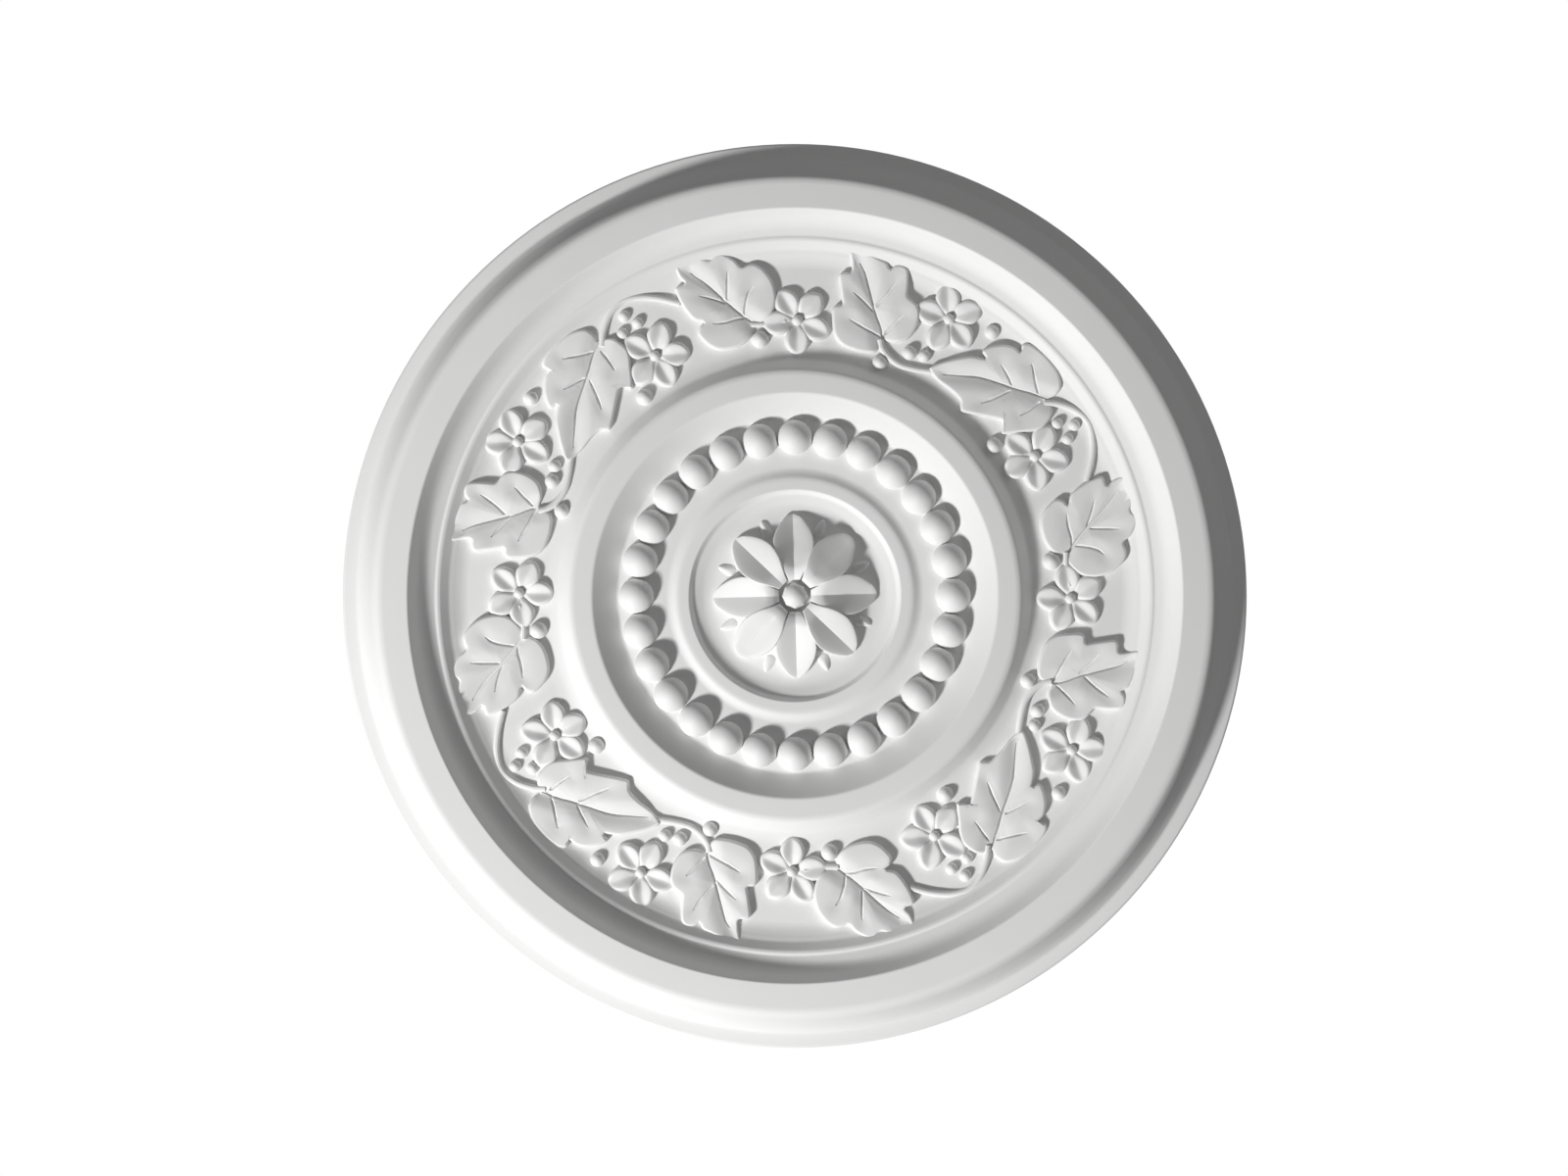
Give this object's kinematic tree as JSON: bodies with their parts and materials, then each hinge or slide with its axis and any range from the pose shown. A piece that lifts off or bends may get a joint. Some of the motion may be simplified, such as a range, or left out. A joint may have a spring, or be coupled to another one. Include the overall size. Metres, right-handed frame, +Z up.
{
  "type": "ceiling rose",
  "caption": "Round ceiling rose with turned mouldings, a frieze of leaves and blossoms, a ring of beads and a flower; its flat back fixes to the ceiling",
  "frame": {"origin": "centre of the flat back, on the face that meets the ceiling", "axes": "+Z up into the ceiling; the ornamented face looks down along -Z; -Y is twelve o'clock of the face as seen from below with +X to its right"},
  "size_m": [0.5998, 0.5998, 0.0325],
  "materials": {
    "primed_moulding": "white factory primer on moulded rigid polyurethane, matt"
  },
  "bodies": {
    "root": {"ceiling_rose": "primed_moulding"}
  },
  "joints": []
}
